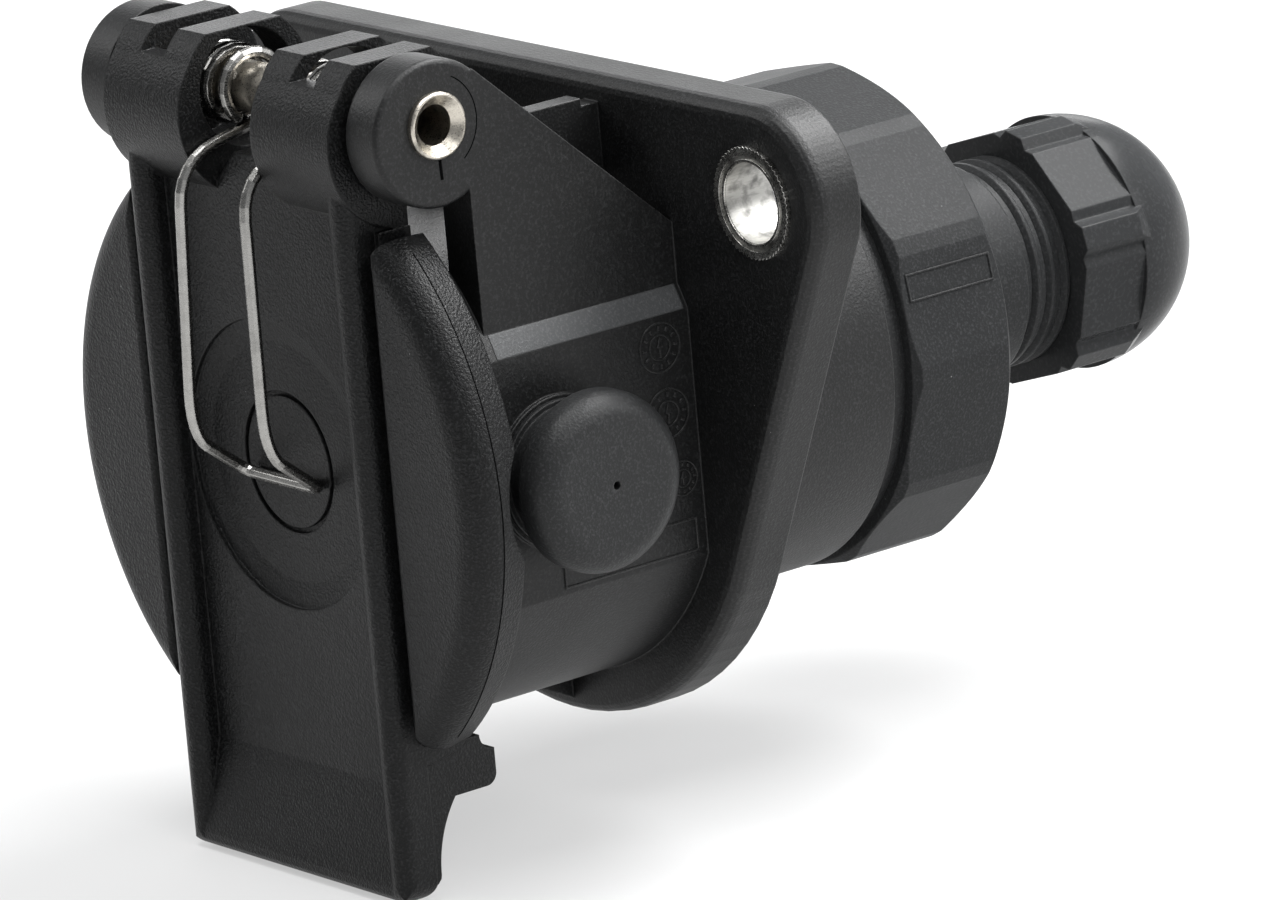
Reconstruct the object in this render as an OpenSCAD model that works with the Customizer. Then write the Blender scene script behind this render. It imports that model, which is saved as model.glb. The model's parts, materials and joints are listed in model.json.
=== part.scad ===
// Trailer socket with a sprung hinged lid, a flange for two bolts and a rear cap with a cable gland.
// The socket axis runs along Y. The lid faces -Y, the gland faces +Y and the hinge is on top.
// The origin lies on the socket axis, in the flange's flat back face.

/* [Flange] */
// Radius of the round lower part of the flange
flange_r = 35; // [34:0.5:38]
// Radius of the flange's two upper corners
corner_r = 10; // [8.5:0.5:11]
// Thickness of the flange
flange_t = 5.8; // [4.5:0.1:8]
// Rounding of the flange's front edge
flange_round = 1.6; // [0.6:0.1:2]
// Distance between the two mounting holes
hole_spacing = 79; // [76:0.5:90]
// Height of the mounting holes above the socket axis
hole_rise = 26; // [24:0.5:27]
// Bore of the steel mounting bushes
bush_bore = 8.5; // [6.5:0.1:9]
// Wall of the mounting bushes
bush_wall = 1.35; // [0.8:0.05:1.8]
// Height that a bush stands proud of the flange's front
bush_proud = 0.3; // [0.1:0.1:0.8]

/* [Barrel] */
// Outer radius of the front barrel
barrel_r = 30; // [29.6:0.1:31]
// Length of the barrel in front of the flange's back face
barrel_len = 37; // [35:0.5:42]
// Wall of the barrel
barrel_wall = 4.8; // [4.2:0.1:5.5]
// Depth of the flats on both sides of the barrel
flat_depth = 3; // [1:0.1:3.2]
// Width of the key rib in the mouth
key_w = 5; // [3:0.5:8]
// Height of the key rib in the mouth
key_h = 2; // [1:0.5:3]
// Thickness of the web under the barrel
foot_web_t = 3; // [2:0.5:5]
// Reach of the web under the barrel in front of the flange
foot_web_len = 9; // [5:0.5:14]

/* [Rear collar] */
// Radius of the collar behind the flange
collar_r = 25.7; // [25:0.1:27]
// Length of the collar
collar_len = 21.6; // [16:0.2:28]
// Wall of the collar
collar_wall = 4.4; // [3.5:0.1:5.5]
// Step from the collar down to the spigot that carries the cap
spigot_step = 2.2; // [1.5:0.1:2.6]
// Length of the spigot
spigot_len = 12; // [8:0.5:16]

/* [Hinge] */
// Height of the hinge pin above the socket axis
hinge_rise = 38.4; // [38:0.1:41]
// Radius of the hinge pin
pin_r = 2.7; // [2.2:0.05:3]
// Wall of the tubular hinge pin
pin_wall = 0.6; // [0.4:0.05:0.9]
// Radius of the flared pin ends
pin_flare_r = 3.5; // [3.3:0.1:4.2]
// Thickness of the flared pin ends
pin_flare_t = 0.7; // [0.4:0.1:1.4]
// Width of the rounded lip round the pin's open ends
pin_lip = 0.35; // [0.2:0.05:0.5]
// Radius of the housing's hinge ears
ear_r = 7.7; // [7:0.1:8.2]
// Distance of the ears' centre below the hinge pin
ear_drop = 0.9; // [0:0.1:1.4]
// Rounding of the hinge ears' outer edge
ear_round = 0.6; // [0.3:0.1:1.4]
// Thickness of the hinge ears and of the gusset walls behind them
ear_t = 4.9; // [3.5:0.1:6]
// Distance of the gussets' front edge behind the hinge pin
gusset_back = 3.6; // [2:0.2:5]
// Height above the axis where the gussets' sloping edge meets the flange
gusset_end_z = 22; // [19:0.5:26]
// Width of the inner ribs beside the spring's tails
tail_rib_w = 2.3; // [1.6:0.1:2.6]
// Gap between these ribs and the lid's knuckles
tail_rib_gap = 2.2; // [1.4:0.1:4]
// Length of the notch in these ribs in front of the flange
rib_notch_len = 2.2; // [1:0.1:4]
// Depth of the notch in these ribs
rib_notch_d = 0.8; // [0.3:0.1:1.5]
// Length of the ledges under the ends of the spring's tails
tail_ledge_len = 2; // [1:0.1:4]

/* [Lid] */
// Radius of the lid
lid_r = 35; // [34:0.5:38]
// Thickness of the lid's plate
plate_t = 3.7; // [3.4:0.1:5]
// Rounding of the lid's front edge
lid_round = 3.4; // [2:0.1:3.6]
// Taper of the lid's rim behind its parting line
rim_draft = 0.55; // [0:0.05:0.8]
// Overlap of the lid's skirt over the barrel
skirt_depth = 2.4; // [1.6:0.1:3.5]
// Distance from the axis to both ends of the lid's side pads
pad_end = 27.2; // [24:0.1:27.8]
// Rounding of the side pads' ends
pad_round = 2.6; // [0.8:0.1:3]
// Rounding of the side pads' inner edges
pad_edge_r = 0.8; // [0.3:0.1:1.6]
// Width of the grooves between the strap and the pads
pad_groove_w = 1.7; // [1:0.1:2.5]
// Depth of the grooves between the strap and the pads
pad_groove_d = 2.4; // [1:0.1:2.8]
// Width of the strap down the middle of the lid
strap_w = 38; // [34:0.5:38]
// Height of the strap above the lid's front face
strap_proud = 1.4; // [0.8:0.1:2.5]
// Thickness of the strap
strap_t = 4.2; // [3.8:0.1:4.8]
// Width of the rounded ribs along the strap's edges
strap_rib_w = 3.4; // [2.4:0.1:4.5]
// Depth of the strap's web below its ribs
web_depth = 2.8; // [1.4:0.1:3]
// Height above the axis where the web ends, under the hinge pin
web_top = 32.9; // [31:0.1:33]
// Size of the notches in the web's upper edge
web_notch = 3.4; // [1:0.1:3.8]
// Distance from the axis down to the strap's lip
lip_drop = 43.9; // [41:0.1:46]
// Rounding of the lip's two corners
lip_corner_r = 2.6; // [1:0.1:4]
// Rounding of the lip's lower edge
lip_r = 1.8; // [0.8:0.1:1.9]
// Height of the ramp above the lip
ramp_len = 11.9; // [6:0.1:13]
// Radius of the round recess in the strap
recess_r = 15.5; // [12:0.1:15.5]
// Depth of the recess's upright wall below the web
recess_step = 0.6; // [0.3:0.1:0.7]
// Width of the recess's sloping border
recess_bevel = 2.6; // [1:0.1:3]
// Floor left under the round recess
recess_floor = 1.1; // [0.8:0.1:1.4]
// Radius of the groove in the middle of the recess
ring_groove_r = 7.3; // [5:0.1:9]
// Inset of the lid's seal from both edges of the barrel's rim
seal_inset = 0.6; // [0.3:0.1:1]
// Depth of the seal's groove in the lid
seal_sink = 0.9; // [0.5:0.1:1.5]
// Depth of the scoop in the rim's rear edge beside the plug
scallop_depth = 2; // [0.5:0.1:2.4]
// Reach of the hook behind the lid's skirt
hook_reach = 5.3; // [3:0.1:6.5]
// Height of the hook's underside above the lid's lowest point
hook_rise = 1.4; // [0.5:0.1:2.5]
// Distance of the hook's ends inside the strap's edges
hook_inset = 0.5; // [0.3:0.1:2]
// Thickness of the hook
hook_t = 5.6; // [5:0.1:6.5]
// Rounding of the hook's lower edge
hook_nose_r = 1.3; // [0.6:0.1:2]
// Radius of the hollow above the hook's tip
hook_scoop_r = 1.8; // [1:0.1:2.4]
// Radius of the curve under the hook
hook_fillet_r = 9; // [7:0.2:11]
// Height of the curve under the hook
hook_fillet_h = 6.5; // [4:0.1:6.8]

/* [Lid knuckles] */
// Radius of the lid's knuckles towards the front
knuckle_r = 9.2; // [8.6:0.1:9.6]
// Distance of the knuckles' centre below the hinge pin
knuckle_drop = 2.15; // [1:0.05:3]
// Radius of the knuckles' heel behind the hinge pin
heel_r = 8; // [7.2:0.1:8.2]
// Height of the knuckles' flat top above the hinge pin
knuckle_flat = 6.4; // [5.6:0.1:7]
// Length of each knuckle beside the strap's middle gap
knuckle_len = 13.2; // [12.4:0.1:13.6]
// Height that each knuckle stands out beyond the strap's edge
knuckle_over = 0.4; // [0.2:0.1:1]
// Radius of the cups in the knuckles
cup_r = 6.2; // [5.8:0.1:6.6]
// Depth of the cups in the knuckles
cup_depth = 8.8; // [8:0.1:9.4]
// Width of the slots for the spring's tails
tail_slot_w = 4.2; // [2.6:0.1:4.4]
// Height of the slots' floor above the hinge pin
slot_floor = 3.9; // [3.6:0.1:5.5]
// Reach of the slots in front of the hinge pin
slot_front = 7.4; // [3:0.2:8]
// Distance of the slots' rear cut behind the hinge pin
slot_back = 3.4; // [3:0.1:4]

/* [Lid spring] */
// Diameter of the spring wire
wire_d = 1.3; // [1:0.05:1.5]
// Number of turns on each side that stay with the housing
coil_turns = 3; // [2:1:4]
// Distance of the tails' ends in front of the flange
tail_short = 3; // [1:0.5:6]
// Fall of the tails from the coil to their ends
tail_fall = 3; // [2:0.1:4]
// Distance of the bail's legs in front of the strap, at their upper bend
bail_reach = 2.3; // [1.8:0.1:4]
// Height above the axis of the legs' upper bend
bail_top_z = 32.6; // [31.5:0.1:34]
// Distance of the bail's legs in front of the strap, at the recess
bail_standoff = 2.7; // [2:0.1:6]
// Outward slant of the bail's legs from top to bottom
bail_spread = 1; // [0:0.1:2]
// Height above the axis where the bail's legs turn in
bail_bend_z = 3.5; // [2:0.5:8]
// Distance of the bail's bar below the axis
bail_bar_drop = 1.8; // [0:0.1:4]
// Reach of the wire's large bends
bend_reach = 4.8; // [3:0.1:5.5]
// Reach of the wire's small bends
bend_small = 1.8; // [1:0.1:2.2]

/* [Side plug] */
// Distance of the plug's axis behind the barrel's front rim
plug_back = 12.9; // [12:0.1:14]
// Radius of the plug's head
plug_head_r = 9.5; // [8.2:0.1:10]
// Thickness of the plug's head
plug_head_t = 4.1; // [3.2:0.1:5]
// Rounding of the plug's head
plug_round = 2.8; // [1:0.1:3]
// Radius of the vent hole in the plug's head
vent_r = 0.45; // [0.3:0.05:0.8]
// Depth of the vent hole in the plug's head
vent_depth = 2; // [1:0.1:2.4]
// Radius of the plug's neck
plug_neck_r = 7.1; // [6:0.1:7.5]
// Length of the plug's neck between the boss and the head
plug_neck_len = 5; // [2:0.1:6]
// Radius of the collar at the neck's foot
plug_foot_r = 7.7; // [7.6:0.1:8]
// Height of the collar at the neck's foot
plug_foot_h = 0.6; // [0.3:0.1:1]
// Radius of the plug's stem in the wall
plug_stem_r = 5; // [3:0.1:6]
// Radius of the boss under the plug
boss_r = 8.1; // [8:0.1:10]
// Height of the boss under the plug
boss_h = 0.5; // [0.3:0.1:2]

/* [Contacts] */
// Distance of the carrier's seat in front of the flange's back face
seat_ahead = 2; // [1:0.5:4]
// Thickness of the contact carrier
carrier_t = 10; // [7:0.5:14]
// Radius of the two power pins
power_pin_r = 2.6; // [2:0.1:3.2]
// Distance of the power pins from the axis
power_pin_off = 6.5; // [5.5:0.1:8]
// Radius of the signal pins
signal_pin_r = 1.6; // [1:0.1:2]
// Radius of the circle of signal pins
signal_circle_r = 15.5; // [13:0.1:17]
// Length of the pins in front of the carrier
pin_reach = 16; // [10:0.5:18]
// Length of the pins' crimp barrels behind the carrier
pin_tail = 9; // [5:0.5:14]
// Taper of the pins' tips
tip_cut = 0.8; // [0.3:0.1:0.9]
// Solid length at the root of the pins' crimp barrels
crimp_floor = 2; // [1:0.5:4]
// Wall of the pins' crimp barrels
crimp_wall = 0.8; // [0.5:0.1:1.2]

/* [Rear cap] */
// Distance across the corners of the twelve-sided cap
cap_across = 53.8; // [52.4:0.1:58]
// Length of the twelve-sided part
cap_len = 13.5; // [11:0.5:18]
// Blunting of the cap's corners
cap_blunt = 0.25; // [0.1:0.05:0.6]
// Chamfer of the cap's corners at both ends
cap_chamfer = 0.8; // [0.3:0.1:1.5]
// Thickness of the cap's end wall
cap_end_t = 3; // [2:0.2:5]
// Thickness of the seal between the collar and the cap
cap_seal_t = 2.3; // [1.4:0.1:3]
// Distance of this seal's edge inside the collar's edge
cap_seal_inset = 1; // [0.5:0.1:1.2]
// Radius of the boss that carries the gland
neck_r = 12; // [11.8:0.1:14]
// Length of the boss that carries the gland
neck_len = 14.6; // [8:0.2:20]

/* [Cable gland] */
// Radius of the stub that carries the gland's thread
thread_r = 11; // [10.8:0.1:11.6]
// Length of the stub that carries the gland's thread
thread_len = 12; // [10:0.5:14]
// Bore of the boss and the stub
neck_bore_r = 9; // [8:0.1:9.4]
// Gap between the boss and the gland nut
nut_gap = 6.5; // [3:0.1:8]
// Distance across the flats of the gland nut
nut_flats = 27; // [26:0.5:32]
// Length of the gland nut's flats
nut_flat_len = 9.5; // [8:0.5:13]
// Height of the nut's corner ribs above its flats' corners
nut_rib_h = 0.7; // [0.2:0.1:1.2]
// Depth of the shallow grooves beside the nut's corner ribs
nut_groove_d = 0.3; // [0.1:0.1:0.8]
// Length of the taper at the rear of the nut's corner ribs
nut_taper = 1.6; // [0.5:0.1:3]
// Radius of the gland nut's dome
dome_r = 14.1; // [13.8:0.1:15.5]
// Depth of the dome's centre inside the nut's flats
dome_sink = 1.2; // [0.5:0.1:3]
// Width of the flat rim round the cable opening
dome_rim = 0.6; // [0.3:0.1:1]
// Radius of the cable opening
cable_r = 7.2; // [6:0.1:7.6]
// Thickness of the collet's fingers at their tips
finger_t = 1; // [0.8:0.1:1.4]
// Reach of the sealing bush beyond the stub's end
seal_reach = 3; // [2:0.5:4]
// Straight length inside the nut between the stub's end and the dome's cone
cone_lead = 1; // [0.5:0.1:2]
// Length of the straight cable opening in the dome's tip
mouth_land = 1; // [0.5:0.1:1.5]
// Bore of the gland's sealing bush
gland_bore_r = 5.6; // [4:0.1:6]

/* [Clearances] */
// Gap between the lid's plate and the barrel's front rim
lid_gap = 0.35; // [0.3:0.05:0.8]
// Gap between the lid's skirt and the barrel
skirt_gap = 1.4; // [1:0.1:2]
// Gap between the knuckles and the ears
side_play = 1.3; // [0.3:0.1:1.5]
// Running gap between the hinge pin and the knuckles
pin_play = 0.06; // [0.03:0.01:0.1]
// Gap between the spring's turns and the hinge pin
coil_play = 0.3; // [0.25:0.05:0.5]
// Gap between the spring's tails and the knuckles' slots
tail_play = 0.3; // [0.25:0.05:0.5]
// Gap between neighbouring turns of the spring
turn_gap = 0.1; // [0.05:0.05:0.3]
// Gap between fixed pieces that slide into one another
fit_gap = 0.1; // [0.05:0.01:0.2]
// Gap between the lid's seal and the barrel's front rim
seal_gap = 0.3; // [0.25:0.05:0.5]

/* [Hidden] */
$fn = 96;
eps = 0.01;
far = 200;

// Flange and mounting holes
flange_front = -flange_t;
hole_x = hole_spacing / 2;
bush_r = bush_bore / 2 + bush_wall;

// Barrel and collar
barrel_front = -barrel_len;
mouth_r = barrel_r - barrel_wall;
flat_x = barrel_r - flat_depth;
collar_bore_r = collar_r - collar_wall;
spigot_r = collar_r - spigot_step;
spigot_end = collar_len + spigot_len;
seat_y = -seat_ahead;

// Lid
lid_seat = barrel_front - lid_gap;
lid_front = lid_seat - plate_t;
lid_back = barrel_front + skirt_depth;
skirt_r = barrel_r + skirt_gap;
strap_front = lid_front - strap_proud;
recess_y = lid_seat - recess_floor;
lid_seal_in_r = mouth_r + seal_inset;
lid_seal_out_r = barrel_r - seal_inset;

// Hinge
hinge_y = lid_back;
hinge_z = hinge_rise;
knuckle_out = strap_w / 2 + knuckle_over;
knuckle_in = knuckle_out - knuckle_len;
ear_in = knuckle_out + side_play;
ear_out = ear_in + ear_t;
gusset_front = hinge_y + gusset_back;
slot_in = knuckle_in + cup_depth - tail_slot_w;

// Spring
wire_r = wire_d / 2;
coil_r = pin_r + coil_play + wire_r;
coil_pitch = wire_d + turn_gap;
tail_x = slot_in + tail_play + wire_r;
coil_in = tail_x - coil_turns * coil_pitch;
bail_x = min(knuckle_in, coil_in - wire_d) - wire_r - turn_gap;
tail_rib_in = tail_x + wire_r + turn_gap;
tail_rib_top = hinge_z - coil_r - wire_r;
tail_end = flange_front - tail_short;
tail_low = hinge_z - coil_r - tail_fall;

// Side plug
plug_y = barrel_front + plug_back;
boss_x = flat_x + boss_h;
plug_in_x = mouth_r + fit_gap;
plug_head_x = boss_x + plug_neck_len;

// Contacts
carrier_front = seat_y - carrier_t;
// Angles of the signal pins round the axis
signal_angles = [90, 150, 30, 215, 325];

// Rear cap and gland
cap_r = cap_across / 2;
cap_turn = 3.2;
cap_front = collar_len + cap_seal_t;
cap_back = cap_front + cap_len;
neck_end = cap_back + neck_len;
thread_end = neck_end + thread_len;
nut_front = neck_end + nut_gap;
nut_back = nut_front + nut_flat_len;
nut_turn = 46.7;
nut_flat_half = 16.8;
nut_groove_at = 21.3;
nut_rib_at = 25.2;
nut_corner_r = nut_flats / 2 / cos(nut_flat_half);
nut_rib_r = nut_corner_r + nut_rib_h;
dome_y = nut_back - dome_sink;
dome_rim_r = cable_r + dome_rim;
dome_end = dome_y + sqrt(dome_r * dome_r - dome_rim_r * dome_rim_r);
seal_out = thread_end + seal_reach;
dome_cone_start = thread_end + cone_lead;
dome_cone_end = dome_end - mouth_land;
collet_slots = 6;
collet_slot_w = 1;

// Turn a shape's Z axis to +Y, from the plane y
module to_back(y) { translate([0, y, 0]) rotate([-90, 0, 0]) children(); }

// Turn a shape's Z axis to -Y, from the plane y
module to_front(y) { translate([0, y, 0]) rotate([90, 0, 0]) children(); }

// Turn a shape's Z axis to +X, from the point x, y, z
module to_right(x, y, z) { translate([x, y, z]) rotate([0, 90, 0]) children(); }

// Extrude an outline drawn in Y and Z along X
module side_extrude(x, w) { translate([x, 0, 0]) rotate([90, 0, 90]) linear_extrude(w) children(); }

// A shape and its mirror image on the other side of the socket
module both_sides() {
  children();
  mirror([1, 0, 0]) children();
}

// A disc with its far edge rounded
module round_disc(r, h, edge) {
  cylinder(r = r, h = h - edge);
  cylinder(r = r - edge, h = h);
  translate([0, 0, h - edge]) rotate_extrude() translate([r - edge, 0]) circle(edge, $fn = 48);
}

// A ring from radius r_in to r_out
module ring(r_in, r_out, h) {
  difference() {
    cylinder(r = r_out, h = h);
    translate([0, 0, -1]) cylinder(r = r_in, h = h + 2);
  }
}

// A point at radius r and angle a
function polar(r, a) = [r * cos(a), r * sin(a)];

// Disc with a rounded front edge, as one corner of the flange
module flange_disc(r) {
  steps = 4;
  edge = [for (i = [0 : steps]) polar(flange_round, 90 * i / steps)];
  rotate_extrude($fn = 72)
    polygon(concat(
      [[0, 0], [r, 0]],
      [for (p = edge) [r - flange_round, flange_t - flange_round] + p],
      [[0, flange_t]]
    ));
}

// Flange drawn tight round a large lower disc and two corner discs
module flange() {
  to_front(0) hull() {
    flange_disc(flange_r);
    both_sides() translate([hole_x, hole_rise, 0]) flange_disc(corner_r);
  }
}

// Barrel with a flat on each side
module barrel() {
  intersection() {
    to_back(barrel_front) cylinder(r = barrel_r, h = barrel_len - 1);
    translate([-flat_x, barrel_front - 1, -far / 2]) cube([2 * flat_x, barrel_len + 1, far]);
  }
}

// Hinge ear with its gusset wall back to the flange
module hinge_ear() {
  middle = [hinge_y, hinge_z - ear_drop];
  run = [flange_front, gusset_end_z] - middle;
  lift = atan2(run[1], run[0]) + 90 - asin(ear_r / norm(run));
  to_right(ear_in, middle[0], middle[1]) round_disc(ear_r, ear_t, ear_round);
  side_extrude(ear_in, ear_t)
    polygon([
      middle, middle + polar(ear_r, lift), [flange_front, gusset_end_z], [flange_front + 1, gusset_end_z],
      [flange_front + 1, 0], [gusset_front, 0], [gusset_front, middle[1]]
    ]);
}

// Inner rib beside a spring tail, with a notch in front of the flange and a ledge under the tail's end
module tail_rib() {
  rib_front = hinge_y + heel_r + tail_rib_gap;
  ledge_front = tail_end - tail_ledge_len;
  ledge_in = tail_x - wire_r;
  difference() {
    translate([tail_rib_in, rib_front, 0]) cube([tail_rib_w, flange_front + 1 - rib_front, tail_rib_top]);
    translate([tail_rib_in - 1, flange_front - rib_notch_len, tail_rib_top - rib_notch_d])
      cube([tail_rib_w + 2, rib_notch_len, far]);
  }
  translate([ledge_in, ledge_front, 0])
    cube([tail_rib_in + 1 - ledge_in, flange_front + 1 - ledge_front, tail_low - wire_r]);
}

// Triangular web between the barrel and the flange's foot
module foot_web() {
  side_extrude(-foot_web_t / 2, foot_web_t)
    polygon([
      [flange_front + 1, -barrel_r + 1], [flange_front - foot_web_len, -barrel_r + 1],
      [flange_front, -flange_r + flange_round], [flange_front + 1, -flange_r + flange_round]
    ]);
}

// Moulded housing
module socket_housing() {
  color("#2a2c2e")
  difference() {
    union() {
      flange();
      barrel();
      to_back(-1) cylinder(r = collar_r, h = collar_len + 1);
      to_back(0) cylinder(r = spigot_r, h = spigot_end);
      both_sides() {
        hinge_ear();
        tail_rib();
      }
      foot_web();
      to_right(plug_in_x, plug_y, 0) cylinder(r = boss_r, h = boss_x - plug_in_x);
    }
    difference() {
      to_back(barrel_front - 1) cylinder(r = mouth_r, h = seat_y - barrel_front + 1);
      translate([-key_w / 2, barrel_front, -mouth_r - 1])
        cube([key_w, -barrel_front + carrier_front, key_h + 1]);
    }
    to_back(seat_y - 1) cylinder(r = collar_bore_r, h = far);
    both_sides() {
      translate([hole_x, 0, hole_rise]) to_back(-far / 2) cylinder(r = bush_r, h = far);
    }
    to_right(-far / 2, hinge_y, hinge_z) cylinder(r = pin_r, h = far);
    to_right(0, plug_y, 0) cylinder(r = plug_stem_r, h = far);
  }
}

// Steel bush in a mounting hole
module mounting_bush(side) {
  color("#c9cbcc")
    translate([side * hole_x, 0, hole_rise])
      to_front(0) ring(bush_bore / 2, bush_r, flange_t + bush_proud);
}

// Tubular hinge pin with flared ends that open like funnels
module hinge_pin() {
  bore_r = pin_r - pin_wall;
  color("#d8d9d8")
  difference() {
    union() {
      to_right(-ear_out, hinge_y, hinge_z) cylinder(r = pin_r, h = 2 * ear_out);
      both_sides() to_right(ear_out, hinge_y, hinge_z) {
        round_disc(pin_flare_r, pin_flare_t, pin_flare_t / 2);
      }
    }
    to_right(-far / 2, hinge_y, hinge_z) cylinder(r = bore_r, h = far);
    both_sides() to_right(ear_out - pin_wall / 2, hinge_y, hinge_z)
      cylinder(r1 = bore_r, r2 = pin_flare_r - pin_lip, h = pin_flare_t + pin_wall / 2);
  }
}

// Rubber plug in the side boss
module side_plug() {
  color("#3a3b3d")
  difference() {
    union() {
      to_right(plug_in_x, plug_y, 0) cylinder(r = plug_stem_r, h = plug_head_x - plug_in_x);
      to_right(boss_x, plug_y, 0) cylinder(r = plug_foot_r, h = plug_foot_h);
      to_right(boss_x, plug_y, 0) cylinder(r = plug_neck_r, h = plug_neck_len + plug_head_t / 4);
      to_right(plug_head_x, plug_y, 0) round_disc(plug_head_r, plug_head_t, plug_round);
    }
    to_right(plug_head_x + plug_head_t - vent_depth, plug_y, 0) cylinder(r = vent_r, h = vent_depth + 1);
  }
}

// Places of the contact pins: two power pins beside the axis and five signal pins on a circle
function pin_place(i) = i < 2 ? [(2 * i - 1) * power_pin_off, 0] : polar(signal_circle_r, signal_angles[i - 2]);
function pin_radius(i) = i < 2 ? power_pin_r : signal_pin_r;

// Contact carrier: a thick disc with the pins' holes
module contact_carrier() {
  color("#1d1e20")
  difference() {
    to_back(carrier_front) cylinder(r = mouth_r - fit_gap, h = carrier_t);
    for (i = [0 : 6])
      translate([pin_place(i)[0], 0, pin_place(i)[1]])
        to_back(carrier_front - 1) cylinder(r = pin_radius(i) + fit_gap, h = carrier_t + 2);
  }
}

// Contact pin with a tapered tip, and a wider crimp barrel behind the carrier
module contact_pin(i) {
  r = pin_radius(i);
  color("#c8a24a")
    translate([pin_place(i)[0], 0, pin_place(i)[1]]) {
      to_back(carrier_front - pin_reach) cylinder(r1 = r - tip_cut, r2 = r, h = tip_cut);
      to_back(carrier_front - pin_reach + tip_cut) cylinder(r = r, h = pin_reach - tip_cut + carrier_t);
      difference() {
        to_back(seat_y) cylinder(r = r + crimp_wall, h = pin_tail);
        to_back(seat_y + crimp_floor) cylinder(r = r, h = pin_tail);
      }
    }
}

// Rubber seal between the collar's shoulder and the cap
module cap_seal() {
  color("#141516")
    to_back(collar_len) ring(spigot_r + fit_gap, collar_r - cap_seal_inset, cap_seal_t);
}

// Twelve-sided screw cap with the gland's boss and the stub for the nut
module rear_cap() {
  blunt_r = cap_r - cap_blunt;
  color("#333537")
  difference() {
    union() {
      intersection() {
        to_back(cap_front) rotate(cap_turn) cylinder(r = cap_r, h = cap_len, $fn = 12);
        union() {
          to_back(cap_front) cylinder(r1 = blunt_r - cap_chamfer, r2 = blunt_r, h = cap_chamfer);
          to_back(cap_front + cap_chamfer) cylinder(r = blunt_r, h = cap_len - 2 * cap_chamfer);
          to_back(cap_back - cap_chamfer) cylinder(r1 = blunt_r, r2 = blunt_r - cap_chamfer, h = cap_chamfer);
        }
      }
      to_back(cap_back - 1) cylinder(r = neck_r, h = neck_len + 1);
      to_back(cap_back) cylinder(r = thread_r, h = neck_len + thread_len);
    }
    to_back(cap_front - 1) cylinder(r = spigot_r + fit_gap, h = cap_len - cap_end_t + 1);
    to_back(cap_front) cylinder(r = neck_bore_r, h = far);
  }
}

// Rubber bush that grips the cable
module gland_seal() {
  color("#161718")
    to_back(neck_end) ring(gland_bore_r, neck_bore_r - fit_gap, seal_out - neck_end);
}

// Radius of the nut's inner cone at the plane y
function nut_cone_r(y) =
  let (part = (y - dome_cone_start) / (dome_cone_end - dome_cone_start))
    thread_r + fit_gap + (cable_r - thread_r - fit_gap) * part;

// Slotted collet between the stub's end and the nut's dome
module gland_collet() {
  straight = seal_out - thread_end + fit_gap;
  cone = dome_cone_start - thread_end;
  tip = dome_cone_end - finger_t - thread_end;
  tip_r = nut_cone_r(tip + thread_end) - fit_gap;
  color("#202224")
    to_back(thread_end)
      difference() {
        rotate_extrude()
          polygon([
            [neck_bore_r, 0], [thread_r, 0], [thread_r, cone], [tip_r, tip],
            [tip_r - finger_t, tip], [neck_bore_r, straight]
          ]);
        for (i = [0 : collet_slots - 1])
          rotate(i * 360 / collet_slots)
            translate([0, -collet_slot_w / 2, cone]) cube([far, collet_slot_w, far]);
      }
}

// Outline of the gland nut: six flats with a raised rib between two shallow grooves on each corner
module nut_outline() {
  half = [
    [nut_flat_half, nut_corner_r], [nut_groove_at, nut_corner_r - nut_groove_d], [nut_rib_at, nut_rib_r]
  ];
  corners = concat([for (i = [2 : -1 : 0]) [-half[i][0], half[i][1]]], half);
  polygon([for (i = [0 : 5]) for (c = corners) polar(c[1], c[0] + 60 * i)]);
}

// Domed gland nut
module gland_nut() {
  color("#3b3d40")
  difference() {
    union() {
      intersection() {
        to_back(nut_front) rotate(-nut_turn) linear_extrude(nut_flat_len) nut_outline();
        union() {
          to_back(nut_front - 1) cylinder(r = nut_rib_r + 1, h = nut_flat_len - nut_taper + 1);
          to_back(nut_back - nut_taper - eps) cylinder(r1 = nut_rib_r + eps, r2 = dome_r, h = nut_taper + 2 * eps);
        }
      }
      intersection() {
        translate([0, dome_y, 0]) sphere(dome_r);
        to_back(nut_back - 1) cylinder(r = dome_r, h = dome_end - nut_back + 1);
      }
    }
    to_back(nut_front - 1) cylinder(r = thread_r + fit_gap, h = dome_cone_start - nut_front + 1);
    to_back(dome_cone_start - eps)
      cylinder(r1 = thread_r + fit_gap, r2 = cable_r, h = dome_cone_end - dome_cone_start + eps);
    to_back(nut_front) cylinder(r = cable_r, h = far);
  }
}

// Waste round a convex corner of radius r, in the quarter where both coordinates are negative
module corner_waste(r) {
  difference() {
    translate([-r - 1, -r - 1]) square(r + 1);
    circle(r);
  }
}

// Round plate with a tapered rim and a rounded front edge
module lid_plate() {
  rim_h = lid_back - lid_front - lid_round;
  to_front(lid_back) {
    cylinder(r1 = lid_r - rim_draft, r2 = lid_r, h = rim_h);
    translate([0, 0, rim_h]) {
      cylinder(r = lid_r - lid_round, h = lid_round);
      intersection() {
        rotate_extrude() translate([lid_r - lid_round, 0]) circle(lid_round, $fn = 48);
        cylinder(r = lid_r + 1, h = lid_round);
      }
    }
  }
}

// Waste round one end of a side pad, above it
module pad_end_waste(x_in, x_edge) {
  translate([x_in, -far / 2, pad_end]) cube(far);
  side_extrude(x_in, far)
    translate([lid_front + pad_round, pad_end - pad_round]) mirror([0, 1]) corner_waste(pad_round);
  translate([x_edge + pad_round, far / 2, pad_end - pad_round])
    rotate([90, 0, 0]) linear_extrude(far) mirror([0, 1]) corner_waste(pad_round);
}

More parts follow.
